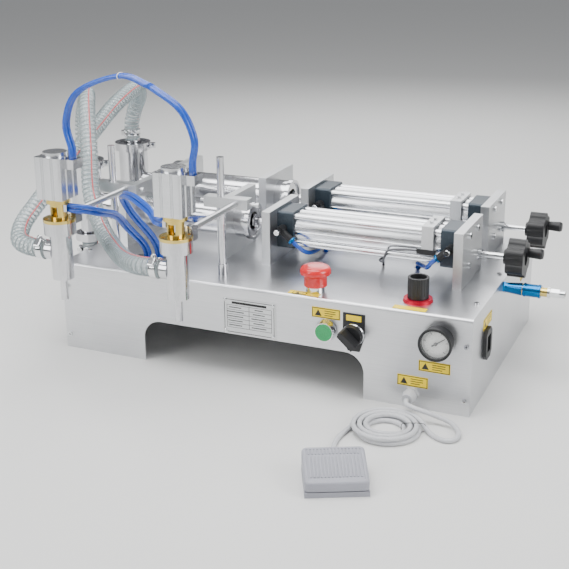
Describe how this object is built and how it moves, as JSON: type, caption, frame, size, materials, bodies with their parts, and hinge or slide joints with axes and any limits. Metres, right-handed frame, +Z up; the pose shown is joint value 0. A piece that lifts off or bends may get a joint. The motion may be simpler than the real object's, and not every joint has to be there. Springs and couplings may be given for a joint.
{
  "type": "piston liquid filler",
  "caption": "Bench-top pneumatic piston filler with horizontal cylinders on a sheet cabinet, nozzle heads on posts, hoses and a foot pedal.",
  "frame": {"origin": "on the floor, at the centre of the four anchor holes under the cabinet", "axes": "+X along the machine to the handwheel end, +Y to the back, +Z up"},
  "size_m": [0.7567, 0.7781, 0.4148],
  "materials": {
    "sheet_steel": "brushed stainless sheet",
    "polished_steel": "polished stainless",
    "aluminium": "satin anodised",
    "slate_aluminium": "slate paint",
    "chrome": "bright",
    "brass": "turned",
    "black_plastic": "matt",
    "grey_plastic": "satin",
    "green_plastic": "gloss",
    "red_plastic": "gloss",
    "yellow_label": "printed film",
    "blue_metal": "blue anodised",
    "blue_tube": "polyurethane",
    "clear_hose": "clear soft PVC with a steel spiral",
    "cord_grey": "soft PVC",
    "white_plastic": "PTFE",
    "pedal_plastic": "moulded ABS"
  },
  "bodies": {
    "cabinet": {"cabinet_shell": "sheet_steel", "end_panels": "sheet_steel", "fasteners": "polished_steel", "panel_labels": "yellow_label", "contact_blocks": "black_plastic", "control_bezels": "chrome", "gauge_case": "black_plastic", "regulator_ring": "red_plastic", "cord_gland": "grey_plastic", "power_inlet": "black_plastic", "slide_valve_body": "blue_metal", "air_unit": "aluminium", "pedal_base": "pedal_plastic", "pedal_cord": "cord_grey", "pedal_cord_coil": "cord_grey", "lane_plates": "aluminium", "air_barrels": "aluminium", "air_caps": "slate_aluminium", "product_cylinders": "polished_steel", "cylinder_fittings": "black_plastic", "cylinder_air_tubes": "blue_tube", "head_air_tubes": "blue_tube", "sensor_leads": "black_plastic", "valve_bodies": "polished_steel", "valve_clamps": "polished_steel", "product_hoses": "clear_hose", "suction_hoses": "clear_hose", "nozzle_posts": "polished_steel"},
    "front_piston": {"front_piston_rod": "polished_steel"},
    "rear_piston": {"rear_piston_rod": "polished_steel"},
    "front_adjuster": {"front_adjusting_screw": "polished_steel", "front_handwheel": "black_plastic"},
    "rear_adjuster": {"rear_adjusting_screw": "polished_steel", "rear_handwheel": "black_plastic"},
    "front_carrier": {"front_sensor_carrier": "aluminium"},
    "rear_carrier": {"rear_sensor_carrier": "aluminium"},
    "front_grip": {"front_crank_grip": "black_plastic"},
    "rear_grip": {"rear_crank_grip": "black_plastic"},
    "front_inlet_valve": {"front_inlet_ball": "white_plastic"},
    "front_outlet_valve": {"front_outlet_ball": "white_plastic"},
    "rear_inlet_valve": {"rear_inlet_ball": "white_plastic"},
    "rear_outlet_valve": {"rear_outlet_ball": "white_plastic"},
    "left_head": {"left_clamp_block": "aluminium", "left_nozzle_body": "polished_steel", "left_brass_column": "brass", "left_nozzle_cylinder": "aluminium"},
    "right_head": {"right_clamp_block": "aluminium", "right_nozzle_body": "polished_steel", "right_brass_column": "brass", "right_nozzle_cylinder": "aluminium"},
    "left_stem": {"left_nozzle_stem": "polished_steel"},
    "right_stem": {"right_nozzle_stem": "polished_steel"},
    "start_push": {"start_button": "green_plastic"},
    "selector": {"selector_knob": "black_plastic"},
    "needle": {"gauge_needle": "black_plastic"},
    "stop_push": {"stop_button_head": "red_plastic"},
    "pressure_knob": {"regulator_knob": "black_plastic"},
    "air_sleeve": {"slide_valve_sleeve": "blue_metal"},
    "treadle": {"pedal_treadle": "pedal_plastic"}
  },
  "joints": [
    {"name": "front_piston_stroke", "type": "slide", "parent": "cabinet", "child": "front_piston", "axis": [-1, 0, 0], "range_m": [0, 0.12]},
    {"name": "front_adjuster_turn", "type": "hinge", "parent": "cabinet", "child": "front_adjuster", "pos_m": [0.3, 0.002, 0.1525], "axis": [1, 0, 0], "range_deg": [0, 5400]},
    {"name": "front_carrier_slide", "type": "slide", "parent": "cabinet", "child": "front_carrier", "axis": [-1, 0, 0], "range_m": [0, 0.0601], "deforming": ["sensor_leads"]},
    {"name": "front_grip_spin", "type": "hinge", "parent": "front_adjuster", "child": "front_grip", "pos_m": [0.33, 0.017, 0.1565], "axis": [1, 0, 0], "continuous": true},
    {"name": "front_inlet_ball_lift", "type": "slide", "parent": "cabinet", "child": "front_inlet_valve", "axis": [0, 0, 1], "range_m": [0, 0.006]},
    {"name": "front_outlet_ball_lift", "type": "slide", "parent": "cabinet", "child": "front_outlet_valve", "axis": [0, 0, 1], "range_m": [0, 0.006]},
    {"name": "rear_piston_stroke", "type": "slide", "parent": "cabinet", "child": "rear_piston", "axis": [-1, 0, 0], "range_m": [0, 0.12]},
    {"name": "rear_adjuster_turn", "type": "hinge", "parent": "cabinet", "child": "rear_adjuster", "pos_m": [0.3, 0.139, 0.1525], "axis": [1, 0, 0], "range_deg": [0, 5400]},
    {"name": "rear_carrier_slide", "type": "slide", "parent": "cabinet", "child": "rear_carrier", "axis": [-1, 0, 0], "range_m": [0, 0.0601], "deforming": ["sensor_leads"]},
    {"name": "rear_grip_spin", "type": "hinge", "parent": "rear_adjuster", "child": "rear_grip", "pos_m": [0.33, 0.154, 0.1565], "axis": [1, 0, 0], "continuous": true},
    {"name": "rear_inlet_ball_lift", "type": "slide", "parent": "cabinet", "child": "rear_inlet_valve", "axis": [0, 0, 1], "range_m": [0, 0.006]},
    {"name": "rear_outlet_ball_lift", "type": "slide", "parent": "cabinet", "child": "rear_outlet_valve", "axis": [0, 0, 1], "range_m": [0, 0.006]},
    {"name": "left_head_height", "type": "slide", "parent": "cabinet", "child": "left_head", "axis": [0, 0, 1], "range_m": [-0.035, 0.04], "deforming": ["product_hoses", "head_air_tubes"]},
    {"name": "left_stem_lift", "type": "slide", "parent": "left_head", "child": "left_stem", "axis": [0, 0, 1], "range_m": [0, 0.012]},
    {"name": "right_head_height", "type": "slide", "parent": "cabinet", "child": "right_head", "axis": [0, 0, 1], "range_m": [-0.035, 0.04], "deforming": ["product_hoses", "head_air_tubes"]},
    {"name": "right_stem_lift", "type": "slide", "parent": "right_head", "child": "right_stem", "axis": [0, 0, 1], "range_m": [0, 0.012]},
    {"name": "start_button_push", "type": "slide", "parent": "cabinet", "child": "start_push", "axis": [0, 1, 0], "range_m": [0, 0.004], "stiffness_N_per_m": 400, "springref_m": -0.002},
    {"name": "selector_turn", "type": "hinge", "parent": "cabinet", "child": "selector", "pos_m": [0.142, -0.19, 0.0864], "axis": [0, -1, 0], "range_deg": [-90, 0]},
    {"name": "needle_sweep", "type": "hinge", "parent": "cabinet", "child": "needle", "pos_m": [0.251, -0.188, 0.095], "axis": [0, 1, 0], "range_deg": [-190, 80]},
    {"name": "stop_button_push", "type": "slide", "parent": "cabinet", "child": "stop_push", "axis": [0, 0, -1], "range_m": [0, 0.006], "stiffness_N_per_m": 800, "springref_m": -0.003},
    {"name": "pressure_knob_turn", "type": "hinge", "parent": "cabinet", "child": "pressure_knob", "pos_m": [0.2117, -0.1356, 0.145], "axis": [0, 0, 1], "range_deg": [-720, 720]},
    {"name": "air_sleeve_slide", "type": "slide", "parent": "cabinet", "child": "air_sleeve", "axis": [1, 0, 0], "range_m": [0, 0.008]},
    {"name": "treadle_press", "type": "hinge", "parent": "cabinet", "child": "treadle", "pos_m": [0.20896, -0.40747, 0.011], "axis": [-0.8988, -0.4384, 0], "range_deg": [0, 5], "stiffness_Nm_per_rad": 3, "springref_deg": -3.44}
  ],
  "couplings": [
    {"joint": "front_carrier_slide", "follows": "front_adjuster_turn", "m_per_rad": 0.00063662},
    {"joint": "rear_carrier_slide", "follows": "rear_adjuster_turn", "m_per_rad": 0.00063662}
  ]
}
